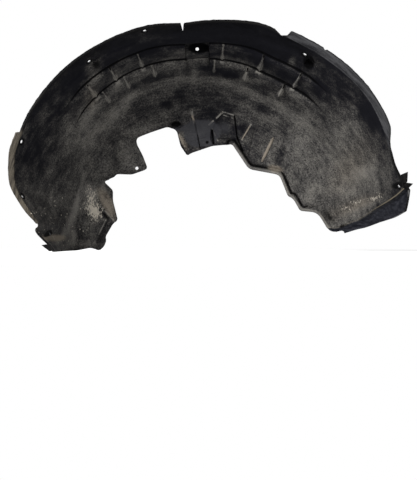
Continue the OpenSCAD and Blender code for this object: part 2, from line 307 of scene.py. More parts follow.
def place(a, r, y):
    """A section point in space. The right end runs aslant and its panel steps outwards."""
    angle = a
    if END_STATION < a <= FREE_STATION:
        share = (FREE_STATION - a) / (FREE_STATION - END_STATION)
        angle = FREE_STATION - share * (FREE_STATION - end_angle(y))
    elif a <= END_STATION:
        angle = end_angle(y)
        if a <= PANEL_STATION:
            angle -= JOGGLE_TURN + along_panel(a) * (PANEL_TURN - PANEL_TAPER * y)
            r += JOGGLE - PANEL_FLAT * along_panel(a) * (1 - ease(0, NEXT_STEP_DEPTH, y))
    t = math.radians(angle)
    return Vector((r * math.cos(t), y, r * math.sin(t)))


def columns():
    """Angles of the mesh's columns: even, and closer at ribs, flange ends and the pad."""
    angles = [LAST_STATION + COLUMN * k for k in range(11)] + [PANEL_STATION, END_STATION]
    angles += [END_STATION + COLUMN * k for k in range(1, 290)]
    angles += [76 + COLUMN * (k + 0.5) for k in range(50)]
    for centre, width, _ in UPPER_RIBS + LOWER_RIBS:
        half = math.degrees(width / 2 / RIB_R)
        for reach in (half * 0.4, half + RIB_FOOT):
            angles += [centre - reach, centre + reach]
    for edge in (PAD_ANGLE - PAD_HALF_ANGLE, PAD_ANGLE + PAD_HALF_ANGLE):
        side = math.copysign(PAD_SIDE, edge - PAD_ANGLE)
        angles += [edge, edge + side]
    angles += [*RIGHT_FLANGE_END, *LEFT_FLANGE_START, LEFT_STATION]
    angles = sorted(a for a in angles if a <= LEFT_STATION)
    kept = [angles[0]]
    for a in angles[1:]:
        if a - kept[-1] > 0.1:
            kept.append(a)
    return kept


def add_object(name, data):
    obj = bpy.data.objects.new(name, data)
    bpy.context.collection.objects.link(obj)
    return obj


def mesh_object(name, bm):
    """Puts a bmesh, made in millimetres about the wheel centre, into the row's frame."""
    to_row = Matrix.Scale(MM, 4) @ Matrix.Translation(-ORIGIN)
    bmesh.ops.transform(bm, matrix=to_row, verts=bm.verts)
    mesh = bpy.data.meshes.new(name)
    bm.to_mesh(mesh)
    bm.free()
    return add_object(name, mesh)


def join_in(joined, bm):
    """Adds one bmesh to another and frees it."""
    mesh = bpy.data.meshes.new("part")
    bm.to_mesh(mesh)
    bm.free()
    joined.from_mesh(mesh)
    bpy.data.meshes.remove(mesh)


def round_edges(bm, edges, reach, segments):
    bmesh.ops.bevel(bm, geom=edges, offset=reach, segments=segments, profile=0.5,
                    affect="EDGES", material=-1)


def smooth(obj, sharp_from):
    """Shades smooth, but sharp at edges from that many degrees."""
    obj.data.shade_smooth()
    obj.data.set_sharp_from_angle(angle=math.radians(sharp_from))


def sheet_grid(across, along, spot):
    """A grid of that many cells, each corner moved to spot(column, row), facing the wheel."""
    bm = bmesh.new()
    bmesh.ops.create_grid(bm, x_segments=across, y_segments=along, size=1)
    for v in bm.verts:
        i = round((v.co.x + 1) / 2 * across)
        j = round((v.co.y + 1) / 2 * along)
        v.co = spot(i, j)
    bmesh.ops.recalc_face_normals(bm, faces=bm.faces)
    if sum(f.normal.y for f in bm.faces) > 0:
        bmesh.ops.reverse_faces(bm, faces=bm.faces)
    return bm


def from_segment(x, z, start, end):
    """Distance to a straight line between two points."""
    p, a, b = Vector((x, z)), Vector(start), Vector(end)
    run = b - a
    along = max(0.0, min(1.0, (p - a).dot(run) / run.length_squared))
    return (p - a - run * along).length


def inside(x, z, outline):
    """Distance inside a convex outline given anticlockwise, negative outside it."""
    p = Vector((x, z))
    depth = 1e9
    for i, corner in enumerate(outline):
        a, b = Vector(corner), Vector(outline[(i + 1) % len(outline)])
        edge = (b - a).normalized()
        depth = min(depth, edge.x * (p - a).y - edge.y * (p - a).x)
    return depth


# Details pressed into the side wall, in X and Z about the wheel centre
RECESS = ((11, 228), (22, 203), (62, 205), (58, 253), (33, 259))
SLOT = ((-81, 229), (-60, 228), (-53, 233), (-67, 243), (-83, 240))
SLIT = ((8, 226), (7, 204), (13, 191), (18, 200), (12, 219))
# Panels that lean away beyond a fold as (outline, fold, slope, side of the fold)
FLAPS = (
    (((-228, 119), (-242, 108), (-221, 28), (-185, 15), (-185, 95)),
     ((-221, 28), (-240, 104)), 0.43, 1),
    (((-221, 28), (-260, -50), (-215, -60), (-185, 15)), ((-247, -24), (-221, 28)), 0.37, 1),
    (((-61, 219), (-75, 222), (-75, 160), (-38, 160), (-38, 173)),
     ((-38, 173), (-61, 219)), 0.8, -1),
)
# How far along X the rolled lip stays clean of dust
LIP_CLEAN_END = 138
# Where the groove beside the rolled lip starts and ends, from the edge
LIP_GROOVE = (6.2, 14.5)
# Pressed grooves as (start, end, half width, depth)
GROOVES = (
    ((-27, 240), (-15, 181), 1.5, 1.8), ((-36, 198), (-2, 208), 1.2, 0.6),
    ((104, 227), (91, 165), 2.0, 1.2), ((63, 252), (68, 206), 2.4, 3.0),
    ((68, 206), (80, 174), 2.4, 2.4), ((32, 262), (57, 255), 1.5, 1.2),
)


def from_lip(x, z):
    """Distance from the edge that carries the rolled lip, or a large number well away from it."""
    if x < 40 or z > 215:
        return 1e3
    return min(from_segment(x, z, start, end) for start, end in zip(LIP_EDGE, LIP_EDGE[1:]))


def side_relief(x, z):
    """How far the side wall is pressed away from the wheel, in millimetres."""
    relief = 4.5 * band(from_lip(x, z), LIP_GROOVE[0], LIP_GROOVE[1], 2.6) * ease(275, 230, x)
    relief += ease(-1, 3.0, inside(x, z, RECESS)) * (2 + 4 * ease(14, 50, x))
    relief += 13.0 * ease(-1, 2.5, inside(x, z, SLOT))
    relief += 6.0 * ease(-1, 2.0, inside(x, z, SLIT))
    for outline, fold, slope, side in FLAPS:
        if inside(x, z, outline) > -2:
            run = (Vector(fold[1]) - Vector(fold[0])).normalized()
            beyond = run.y * (x - fold[0][0]) - run.x * (z - fold[0][1])
            relief += slope * max(0.0, side * beyond) * ease(-2, 1, inside(x, z, outline))
    for start, end, half, depth in GROOVES:
        off = from_segment(x, z, start, end)
        relief += depth * (1 - ease(half * 0.4, half * 1.5, off))
    return relief


def rib_relief(a, y):
    """How far the crown's ribs stand towards the wheel. They widen away from the rim."""
    relief = 0.0
    for ribs, start, length, fades in (
        (UPPER_RIBS, STEP_DEPTH + 1, 50, lambda t: 1 - 0.5 * t),
        (LOWER_RIBS, NEXT_STEP_DEPTH + 1, 44, lambda t: 1 - ease(0.55, 1, t)),
    ):
        along = (y - start) / length
        if 0 < along < 1:
            for centre, width, height in ribs:
                half = math.degrees(width / 2 / RIB_R) * (0.7 + 0.6 * along)
                side = 1 - ease(half * 0.4, half + RIB_FOOT, abs(a - centre))
                relief += height * side * ease(0, 3, y - start) * fades(along)
    return relief


def hole_dish(a, r, y):
    """A shallow dish round each screw hole in the wall."""
    dish = 0.0
    for centre, depth in WALL_HOLES:
        if abs(y - depth) < 14 and abs(a - centre) < 3:
            d = math.hypot(y - depth, math.radians(a - centre) * r)
            dish += 1.4 * (1 - ease(6, 10, d))
    return dish


def pocket_relief(a, y):
    """The deep pocket beside the right crown screw and the small one beside the left."""
    right = band(a, 57.0, 59.8, 0.5) * band(y, 29, 46, 3)
    left = band(a, 121.6, 124.0, 0.5) * band(y, 27, 40, 3)
    return 9.0 * right + 6.0 * left


def unevenness(p):
    """Gentle waves of a thin moulded sheet."""
    return 0.9 * noise.noise(p * 0.011) + 0.35 * noise.noise(p * 0.035 + Vector((9, 4, 2)))


def build_shell():
    angles = columns()
    lines = [section_points(a) for a in angles]
    rows = len(lines[0])

    def spot(i, j):
        a, line = angles[i], lines[i]
        here = line[j]
        ahead = line[min(j + 1, rows - 1)] - line[max(j - 1, 0)]
        out = Vector((ahead.y, -ahead.x)).normalized()
        p = place(a, here.x, here.y)
        push = unevenness(p)
        if here.y < CREASE_DEPTH:
            if here.y > 0.5:
                push += hole_dish(a, here.x, here.y) + pocket_relief(a, here.y)
                push -= rib_relief(a, here.y)
            # A low bead along the end line of the wall, which catches the light
            if a >= END_STATION:
                push -= 2.0 * (1 - ease(0.3, 1.4, a - END_STATION))
        else:
            push += side_relief(p.x, p.z) * ease(CREASE_DEPTH + 20, SIDE_DEPTH - 3, here.y)
        return place(a, here.x + out.x * push, here.y + out.y * push)

    return mesh_object("liner_shell", sheet_grid(len(angles) - 1, rows - 1, spot))


def eased(outline, cut_back=3.0):
    """The same closed outline with its corners cut back twice, as a mould rounds them."""
    points = [Vector(p) for p in outline]
    for reach in (cut_back, cut_back / 3):
        fine = []
        for i, here in enumerate(points):
            for other in (points[i - 1], points[(i + 1) % len(points)]):
                side = other - here
                fine.append(here + side.normalized() * min(reach, side.length * 0.3))
        points = fine
    return points


def prism(outline, low, high):
    """A solid with an outline in X and Z, from one depth to another, as a bmesh."""
    bm = bmesh.new()
    face = bm.faces.new([bm.verts.new((x, low, z)) for x, z in outline])
    grown = bmesh.ops.extrude_face_region(bm, geom=[face])
    moved = [v for v in grown["geom"] if isinstance(v, bmesh.types.BMVert)]
    bmesh.ops.translate(bm, verts=moved, vec=(0, high - low, 0))
    bmesh.ops.recalc_face_normals(bm, faces=bm.faces)
    return bm


def wall_matrix(a, y):
    """Puts local Z along the wall's outward direction at a screw hole."""
    deeper = place(a, wall_at(a, y + 1), y + 1) - place(a, wall_at(a, y - 1), y - 1)
    round_it = place(a + 0.5, wall_at(a + 0.5, y), y) - place(a - 0.5, wall_at(a - 0.5, y), y)
    out = deeper.cross(round_it)
    turn = out.to_track_quat("Z", "Y").to_matrix().to_4x4()
    return Matrix.Translation(place(a, wall_at(a, y), y)) @ turn


def drill(matrix, across=SCREW_D, length=40):
    bm = bmesh.new()
    bmesh.ops.create_cone(bm, cap_ends=True, cap_tris=False, segments=32, radius1=across / 2,
                          radius2=across / 2, depth=length, matrix=matrix)
    return bm


def cut(obj, name, bm, finish=2):
    """Takes a solid away from a piece, and gives the cut faces the material with that index."""
    tool = mesh_object(name, bm)
    dress(tool, finish)
    modifier = obj.modifiers.new(name, "BOOLEAN")
    modifier.operation = "DIFFERENCE"
    modifier.solver = "MANIFOLD"
    modifier.object = tool
    apply_modifiers(obj)
    bpy.data.objects.remove(tool)


def apply_modifiers(obj):
    graph = bpy.context.evaluated_depsgraph_get()
    mesh = bpy.data.meshes.new_from_object(obj.evaluated_get(graph))
    obj.modifiers.clear()
    obj.data = mesh


def thicken(obj, thickness):
    modifier = obj.modifiers.new("sheet", "SOLIDIFY")
    modifier.thickness = thickness * MM
    modifier.offset = -1
    modifier.material_offset = 1
    modifier.material_offset_rim = 2
    apply_modifiers(obj)


def srgb(code):
    """A hex colour as linear RGBA."""
    parts = [int(code[k:k + 2], 16) / 255 for k in (1, 3, 5)]
    return tuple(c / 12.92 if c <= 0.04045 else ((c + 0.055) / 1.055) ** 2.4 for c in parts) + (1,)


def node(tree, kind, links=(), **settings):
    """Adds a shader node, with its properties, socket values and incoming links."""
    made = tree.nodes.new("ShaderNode" + kind)
    values = settings.pop("values", {})
    for key, value in settings.items():
        setattr(made, key, value)
    for key, value in values.items():
        made.inputs[key].default_value = value
    for key, source in dict(links).items():
        tree.links.new(source, made.inputs[key])
    return made


def plain_material(name):
    material = bpy.data.materials.new(name)
    material.use_nodes = True
    tree = material.node_tree
    tree.nodes.clear()
    return material, tree


def math_node(operation, *values):
    """One sum, product or other step on numbers and sockets; gives its output socket."""
    tree = next(v for v in values if isinstance(v, bpy.types.NodeSocket)).id_data
    made = tree.nodes.new("ShaderNodeMath")
    made.operation = operation
    for k, value in enumerate(values):
        if isinstance(value, bpy.types.NodeSocket):
            tree.links.new(value, made.inputs[k])
        else:
            made.inputs[k].default_value = value
    return made.outputs[0]


def times(one, other):
    return math_node("MULTIPLY", one, other)


def times_plus(value, factor, more):
    return math_node("MULTIPLY_ADD", value, factor, more)


def minus(one, other):
    return math_node("SUBTRACT", one, other)


def most(one, other):
    return math_node("MAXIMUM", one, other)


def attribute(tree, name):
    """An amount that is painted on the mesh."""
    return node(tree, "Attribute", attribute_name=name).outputs["Fac"]


def millimetres(tree, centre=(0, 0, 0)):
    """Object coordinates in millimetres, moved by that much."""
    here = node(tree, "TexCoord").outputs["Object"]
    made = node(tree, "Mapping", {"Vector": here},
                values={"Location": centre, "Scale": (1000, 1000, 1000)})
    return made.outputs[0]


def fade(value, start, end, low=0.0, high=1.0):
    """A smooth change from low to high while the value goes from start to end."""
    limits = {"From Min": start, "From Max": end, "To Min": low, "To Max": high}
    made = node(value.id_data, "MapRange", {"Value": value}, values=limits,
                interpolation_type="SMOOTHSTEP")
    return made.outputs[0]


def mottle(spot, size, detail, roughness, stretch=(1, 1, 1)):
    """Noise whose spots are about that many millimetres across; the values centre on 0.5."""
    tree = spot.id_data
    scaled = node(tree, "Mapping", {"Vector": spot}, values={"Scale": [k / size for k in stretch]})
    made = node(tree, "TexNoise", {"Vector": scaled.outputs[0]},
                values={"Scale": 1, "Detail": detail, "Roughness": roughness})
    return made.outputs["Fac"]


def distance(vector):
    made = node(vector.id_data, "VectorMath", {0: vector}, operation="LENGTH")
    return made.outputs["Value"]


def patch(spot, x, z, half_length, half_width, turn, depth=None):
    """1 at the middle of an ellipse laid in X and Z about the wheel centre, 0 beyond it."""
    y, half_depth = (0, 1e6) if depth is None else (depth, half_width)
    made = node(spot.id_data, "Mapping", {"Vector": spot}, vector_type="TEXTURE", values={
        "Location": (x, y, z), "Rotation": (0, -math.radians(turn), 0),
        "Scale": (half_length, half_depth, half_width)})
    return fade(distance(made.outputs[0]), 1.0, 0.0)


def line(spot, start, end, half):
    """1 on a straight line in X and Z between two points, 0 beyond its half width."""
    tree = spot.id_data
    run = Vector(end) - Vector(start)
    middle = (Vector(end) + Vector(start)) / 2
    made = node(tree, "Mapping", {"Vector": spot}, vector_type="TEXTURE", values={
        "Location": (middle.x, 0, middle.y), "Rotation": (0, -math.atan2(run.y, run.x), 0)})
    parts = node(tree, "SeparateXYZ", {0: made.outputs[0]})
    along = minus(math_node("ABSOLUTE", parts.outputs["X"]), run.length / 2)
    across = math_node("ABSOLUTE", parts.outputs["Z"])
    return fade(most(along, across), half, half * 0.35)


def add_up(parts):
    """The sum of (amount, socket) pairs."""
    total = 0.0
    for amount, socket in parts:
        total = times_plus(socket, amount, total)
    return total


def blend(factor, under, over):
    """Lays one colour over another where the factor is 1."""
    tree = factor.id_data
    made = node(tree, "Mix", {"Factor": factor}, data_type="RGBA")
    for name, colour in (("A", under), ("B", over)):
        if isinstance(colour, str):
            made.inputs[name].default_value = srgb(colour)
        else:
            tree.links.new(colour, made.inputs[name])
    return made.outputs["Result"]


# Where dust lies thick or thin on the wheel side: (x, z, half length, half width, turn, amount)
DUST = (
    # The right end and the wall above it
    (270, 70, 190, 95, 62, 0.08), (330, 48, 60, 14, 30, 0.04), (345, 95, 60, 22, 75, 0.05),
    (75, 222, 34, 26, 0, -0.16), (170, 215, 120, 70, 140, 0.05), (130, 170, 40, 30, 60, 0.22),
    (162, 165, 44, 14, 78, -0.35), (200, 190, 34, 20, -60, 0.14), (206, 96, 40, 24, 60, -0.18),
    (290, 124, 44, 22, 60, -0.2), (344, 46, 30, 12, 25, -0.16), (176, 190, 22, 16, 0, 0.16),
    (172, 140, 18, 14, -40, -0.2), (212, 245, 30, 20, -60, 0.2), (227, 286, 36, 20, -40, -0.28),
    (264, 318, 44, 22, -50, -0.34), (258, 272, 40, 26, -60, -0.22), (316, 222, 50, 22, -66, -0.3),
    (308, 66, 52, 22, 25, -0.26), (321, 121, 22, 28, 80, 0.3), (353, 150, 12, 50, 8, 0.15),
    # The crown
    (140, 320, 150, 60, -38, -0.16), (-52, 372, 30, 14, 10, -0.18), (232, 334, 40, 20, -45, -0.2),
    (0, 405, 150, 34, 0, -0.06), (90, 375, 130, 34, -14, -0.06), (55, 371, 40, 12, -8, 0.06),
    (45, 332, 60, 13, -5, -0.3), (99, 327, 18, 14, -20, -0.18), (-221, 281, 30, 16, 50, -0.16),
    (148, 166, 12, 26, 10, -0.22), (140, 340, 42, 12, -28, 0.14), (130, 325, 26, 16, -25, 0.14),
    (169, 338, 12, 11, -30, 0.34), (128, 267, 50, 22, -25, -0.26), (78, 285, 32, 15, -15, -0.16),
    (176, 228, 36, 24, -40, -0.18), (182, 278, 46, 15, -48, 0.2), (60, 303, 50, 16, -12, -0.1),
    (10, 343, 90, 15, -2, -0.2), (90, 316, 34, 10, -18, 0.2), (148, 286, 46, 12, -40, 0.22),
    (-26, 335, 18, 18, 0, 0.2), (-112, 292, 54, 18, 22, 0.16), (-22, 304, 26, 14, 0, 0.12),
    (-190, 330, 52, 16, 38, 0.14), (-203, 279, 34, 18, 52, -0.08), (-160, 314, 24, 12, 30, -0.1),
    (-150, 352, 64, 20, 28, 0.14), (-224, 312, 40, 20, 60, 0.4), (-246, 279, 42, 20, 62, 0.2),
    (-331, 234, 40, 20, 65, -0.12), (-281, 237, 24, 16, 60, -0.14), (-284, 231, 64, 16, 72, 0.16),
    (-252, 216, 60, 28, 66, 0.28), (-228, 140, 60, 32, 80, 0.2), (-226, 219, 28, 22, 60, 0.18),
    (-280, 182, 54, 20, 76, 0.2), (-311, 268, 40, 22, 60, -0.08), (-155, 300, 30, 12, 40, 0.14),
    (-172, 276, 36, 14, 60, 0.16), (-34, 276, 30, 16, 0, -0.16),
    # The side wall and its tabs
    (-40, 262, 36, 16, 5, 0.1), (50, 269, 40, 16, -8, -0.08), (-110, 255, 60, 22, 25, 0.1),
    (-198, 243, 30, 18, 60, 0.12), (-140, 224, 60, 22, 20, 0.28), (-175, 168, 46, 34, 70, 0.28),
    (-160, 142, 30, 16, 0, 0.22), (-192, 208, 24, 18, 0, -0.1), (-143, 157, 22, 17, 0, 0.2),
    (-52, 196, 34, 7, 117, 0.3), (345, 62, 34, 14, 28, 0.06), (72, 168, 46, 16, -56, 0.55),
    (122, 131, 34, 12, -10, 0.5), (150, 138, 24, 9, -10, 0.5),
    # The left leg and the whole left side
    (-260, 160, 240, 150, 70, 0.05), (-250, 40, 110, 60, 85, 0.12), (-330, 110, 60, 34, 85, 0.04),
    (-300, 130, 60, 26, 80, -0.08), (-256, 72, 60, 24, 84, 0.2), (-220, 62, 50, 17, 117, 0.64),
    (-230, 94, 18, 12, 117, 0.3), (-254, 84, 34, 17, 105, 0.5), (-345, 150, 120, 34, 70, -0.1),
    (-308, -15, 16, 9, -3, 0.95), (-262, -25, 30, 16, 0, 0.12), (-286, 40, 110, 8, 76, 0.62),
    (-288, -14, 34, 9, 84, 0.45), (-223, 74, 36, 7, 116, -0.32), (-268, -28, 40, 14, 0, 0.16),
    (-326, 50, 40, 18, 75, 0.14), (-268, 150, 60, 30, 80, 0.12),
)
# Places that stay wiped or sheltered, in the same form
CLEAN = (
    (-24, 216, 36, 40, 0, 2.0), (0, 216, 34, 38, 0, 2.0), (38, 228, 34, 34, 0, 0.42),
    (-60, 228, 22, 9, 4, 2.0),
)
# Places painted black for deep shade in slots, pockets, folds and the dimple, and for black grime,
# in the same form
BLACK = (
    (-234, -12, 44, 15, 72, 0.55), (-69, 237, 15, 8, 4, 2.0), (-212, 104, 20, 8, 45, 0.9),
    (-199, 55, 44, 6, 98, 0.9), (-224, 34, 20, 8, -52, 0.9), (0, 196, 4.2, 4.2, 0, 5.0),
    (268, 33, 34, 13, -48, 1.0), (295, 10, 16, 7, 38, 1.2), (-52, 186, 30, 9, 118, 0.8),
)
# Places where the dust is brown earth rather than grey, in the same form
EARTH = (
    (-220, 62, 56, 20, 117, 1.6), (-308, -15, 18, 11, -3, 2.0), (150, 138, 26, 12, -10, 2.0),
    (-52, 196, 38, 9, 117, 1.2), (330, 62, 50, 22, 24, 0.6), (290, 40, 60, 30, 20, 0.5),
    (-238, 272, 44, 22, 62, 0.5), (300, 130, 120, 60, 70, 0.5),
)
# Pale mud that splashed on and dried, in the same form
MUD = (
    (-249, 47, 40, 24, 113, 1.12), (-253, 82, 30, 16, 105, 0.58), (347, 68, 15, 10, 30, 0.62),
    (319, 62, 18, 9, 20, 0.60), (304, 50, 16, 7, -10, 0.48),
)
# Thin light marks: scraped lines and dried runs, as (start, end, half width, amount)
MARKS = (
    ((96, 235), (77, 202), 2.4, 0.5), ((4, 235), (34, 262), 2.2, 0.9),
    ((33, 264), (58, 256), 1.6, 0.5), ((35, 257), (56, 250), 1.4, 0.4),
    ((-222, 28), (-247, -24), 1.8, 0.35), ((-234, 56), (-205, 22), 2.0, 0.7),
    ((-34, 262), (-29, 240), 3.2, 0.6), ((23, 200), (12, 225), 1.8, 1.0),
    ((-222, 60), (-206, 22), 3.4, 0.35), ((-62, 212), (-48, 180), 3.0, 0.5),
)
# Thin dark lines of painted shade and grime in folds and cavities, as (start, end, half width,
# amount)
FOLDS = (
    ((-27, 240), (-21, 212), 1.0, 0.5), ((-21, 212), (-15, 180), 1.6, 0.9),
    ((-36, 198), (-2, 208), 0.9, 0.25), ((60, 254), (66, 208), 2.4, 1.0),
    ((66, 208), (78, 178), 3.0, 1.0), ((104, 227), (91, 165), 1.8, 0.45),
    ((11, 222), (14, 194), 3.4, 1.0), ((-218, 26), (-243, -26), 1.6, 0.7),
    ((-198, 25), (-209, 69), 1.6, 0.5), ((22, 203), (60, 206), 1.6, 0.5),
)
# Painted shade in the wall beside two screw holes, in the same form
BESIDE_HOLES = ((-219, 326, 15, 8, 30, 1.0), (371, 87, 12, 10, 0, 1.6))
# Painted shade as a dark ring round the leg's hole and in the deep pocket of the crown, and the
# place where mud drops lie, as (x, z, half length, half width, turn)
LEG_RING = (-315, -6, 3.8, 10.5, 0)
DEEP_POCKET = (200, 330, 20, 12, -40)
DROPS = (-300, 20, 70, 90, 0)
DROP_GAP = 11.0
RING_R = 11.0
# Share of the surface's tone that dust makes where nothing else is said, and how much of it
# broad drifts, blotches and streaks each add
USUAL_DUST = 0.23
DUST_SHARES = (0.75, 0.40, 0.40)
Grain = namedtuple("Grain", "broad blotch speckle streaks")


def painted_at(x, z, table):
    """Sum of a table's ellipses in X and Z, each full in its middle and 0 at its border."""
    total = 0.0
    for px, pz, length, width, turn, amount in table:
        dx, dz = x - px, z - pz
        if max(abs(dx), abs(dz)) <= max(length, width):
            c, s = math.cos(math.radians(turn)), math.sin(math.radians(turn))
            far = math.hypot((dx * c + dz * s) / length, (dz * c - dx * s) / width)
            total += amount * ease(1, 0, far)
    return total


def dust_and_light_at(p):
    """How much lighter than usual a place on the wheel side is painted: by dust, and by painted
    highlights and shade.
    """
    x, y, z = p
    dust_and_light = painted_at(x, z, DUST)
    a = math.degrees(math.atan2(z, x)) % 360
    if a > 300:
        a -= 360
    # Lighter below each step, along the crease, at the right and on the ribs, and darker by the
    # rim
    on_steps = band(a, 47, 141, 7)
    # A painted highlight below each step's edge, where it catches the light, with dust there too
    for depth in (STEP_DEPTH, NEXT_STEP_DEPTH):
        under = 0.06 if depth == STEP_DEPTH else 0.15
        dust_and_light += under * on_steps * ease(depth, depth + 3, y) * ease(depth + 34, depth + 5, y)
    dust_and_light += 0.06 * band(y, 160, 226, 28) + 0.26 * band(y, 168, 212, 20) * band(a, 40, 140, 20)
    # Lighter at the right; darker near the rim at the right and across the crown, as painted shade
    # where the crown is in shadow
    dust_and_light += 0.20 * ease(62, 30, a) * ease(30, 150, y) - 0.12 * ease(66, 40, a) * ease(60, 0, y)
    dust_and_light -= 0.22 * band(a, 44, 158, 24) * ease(130, 60, y)
    # Ribs painted lighter: a painted highlight where they catch the light, with dust on them
    for ribs, start, end in (
        (UPPER_RIBS, STEP_DEPTH + 3, NEXT_STEP_DEPTH), (LOWER_RIBS, NEXT_STEP_DEPTH + 3, 152),
    ):
        if start - 3 < y < end + 3:
            for centre, width, _ in ribs:
                along = (y - start) / (end - start)
                half = width * (0.45 + 0.85 * min(1.0, max(0.0, along)))
                off = abs(math.radians(a - centre)) * math.hypot(x, z)
                dust_and_light += 0.55 * (1 - ease(half * 0.5, half, off))
    return dust_and_light


def grime_and_shade_at(p):
    """How dark a place of the wheel side is painted, with painted shade and black grime."""
    x, y, z = p
    if y < CREASE_DEPTH:
        a = math.degrees(math.atan2(z, x))
        # Painted shade: black along the flange's outer edge, where it turns back
        if 3 < y < 6 and math.hypot(x, z) > rim_at(a) + LIP_W:
            return 1.0
        # Painted shade by the rim of the crown, and beside two screw holes
        rim = band(a, 66 if y < 2 else 44, 150, 24) * ease(52, 12, y)
        return 0.5 * rim + painted_at(x, z, BESIDE_HOLES)
    grime_and_shade = painted_at(x, z, BLACK)
    # Painted shade in the groove beside the rolled lip
    grime_and_shade += 1.2 * band(from_lip(x, z), LIP_GROOVE[0], LIP_GROOVE[1] - 1, 3) * ease(262, 190, x)
    return min(1.0, grime_and_shade) * (1 - min(1.0, earth_at(p)) * 0.8)


def earth_at(p):
    """How brown the dust of a place is."""
    return painted_at(p.x, p.z, EARTH)


def paint(obj, more_dust=0.0, wiped_left_of=-1e3, earthy=0.0):
    """Writes the amounts that the materials read into the mesh."""
    places = [v.co / MM + ORIGIN for v in obj.data.vertices]
    amounts = {
        "dust_and_light": lambda p: dust_and_light_at(p) + more_dust,
        "earth": lambda p: earth_at(p) + earthy,
        "mud": lambda p: painted_at(p.x, p.z, MUD),
        "clean": lambda p: (0.3 * ease(wiped_left_of + 10, wiped_left_of, p.x)
                            + painted_at(p.x, p.z, CLEAN)),
        "grime_and_shade": grime_and_shade_at if obj.name.startswith("liner") else lambda p: 0.0,
    }
    for name, amount in amounts.items():
        layer = obj.data.attributes.new(name, "FLOAT", "POINT")
        layer.data.foreach_set("value", [amount(p) for p in places])


def dust_and_light_film(tree, spot, grain):
    """How thick the dust lies, from 0 to 1, with the painted highlights and shade that its painted
    amount carries.
    """
    noises = (grain.broad, grain.blotch, grain.streaks)
    dust_and_light = add_up((*zip(DUST_SHARES, noises), (1.0, attribute(tree, "dust_and_light"))))
    dust_and_light = minus(dust_and_light, sum(DUST_SHARES) / 2 - USUAL_DUST)
    fine = minus(grain.speckle, 0.5)
    dust_and_light = math_node("ADD", dust_and_light, times(fine, fade(dust_and_light, 0.0, 0.5, 0.7, 1.9)))
    broken = fade(mottle(spot, 14, 3, 0.6), 0.36, 0.58)
    for start, end, half, amount in MARKS:
        mark = times(line(spot, start, end, half), broken)
        dust_and_light = times_plus(mark, amount * 1.5, dust_and_light)
    return fade(dust_and_light, 0.0, 1.0)


def dusted_colour(tree, film, grain):
    """Black plastic under a film of grey or brown dust, and dark grey where it is wiped."""
    dark = blend(grain.blotch, "#0b0b0f", "#1d1d22")
    earth = fade(attribute(tree, "earth"), 0.0, 1.0, 0.0, 0.85)
    grey = blend(grain.blotch, "#6a6868", "#98948b")
    brown = blend(grain.speckle, "#696057", "#a49a8b")
    colour = blend(film, dark, blend(earth, grey, brown))
    wiped = fade(attribute(tree, "clean"), 0.15, 0.5, 0.0, 0.8)
    return blend(wiped, colour, blend(grain.blotch, "#333337", "#4a4a4d"))


def past_end_line(angle, y):
    """The angle as it would be if the wall's end line ran straight at END_STATION."""
    leaned = times_plus(y, LINE_LEAN, angle)
    bow = times(fade(y, *BOW_RISE, 0.0, LINE_BOW), fade(y, *BOW_FALL))
    return minus(leaned, bow)


def flange_colour(angle, grain):
    """The rim's flange: scuffed at the right, dusty at the left, bare between."""
    right = times(fade(angle, 21, 26), fade(angle, 68, 66.5))
    left = times(fade(angle, 151, 153), fade(angle, 182, 174))
    worn = times_plus(grain.speckle, 0.35, grain.streaks)
    worn = fade(worn, 0.45, 0.9)
    bare = blend(worn, "#0e0e10", "#252423")
    scuffed = blend(worn, "#222224", "#505052")
    dusty = blend(worn, "#292624", "#5f594f")
    return blend(left, blend(right, bare, scuffed), dusty)


def dried_mud(tree, spot, grain):
    """1 where pale mud dried: a thick splash on the left leg, and drops about it."""
    splash = attribute(tree, "mud")
    strands = mottle(spot, 4.0, 4, 0.75, (1.5, 1, 0.7))
    ragged = times_plus(strands, 2.6, -0.8)
    mud = fade(times_plus(splash, 0.62, ragged), 0.80, 1.0)
    mud = times(mud, fade(splash, 0.0, 0.12))
    cells = node(tree, "Mapping", {"Vector": spot}, values={"Scale": [1 / DROP_GAP] * 3})
    drops = node(tree, "TexVoronoi", {"Vector": cells.outputs[0]}, values={"Scale": 1})
    round_drop = fade(drops.outputs["Distance"], 0.17, 0.10)
    where = times(patch(spot, *DROPS), grain.broad)
    drop = times(round_drop, fade(where, 0.12, 0.3))
    return most(mud, times(drop, 0.85))


def step_corners(angle, y):
    """1 in the corner before each step of the crown: painted shade, black where shade falls there.
    """
    corner = 0.0
    for depth, start, end, size in ((STEP_DEPTH, 46, 141, 0.8), (NEXT_STEP_DEPTH, 43, 143, 1.0)):
        strength = times(fade(angle, start, start + 9), fade(angle, end, end - 7))
        wide = times_plus(fade(angle, 95, 60), 0.7 * size, 0.8)
        after = math_node("DIVIDE", minus(y, depth), wide)
        near = times(fade(after, 1.3, 0.8), fade(y, depth - 3, depth - 1))
        corner = most(corner, times(near, strength))
    return corner


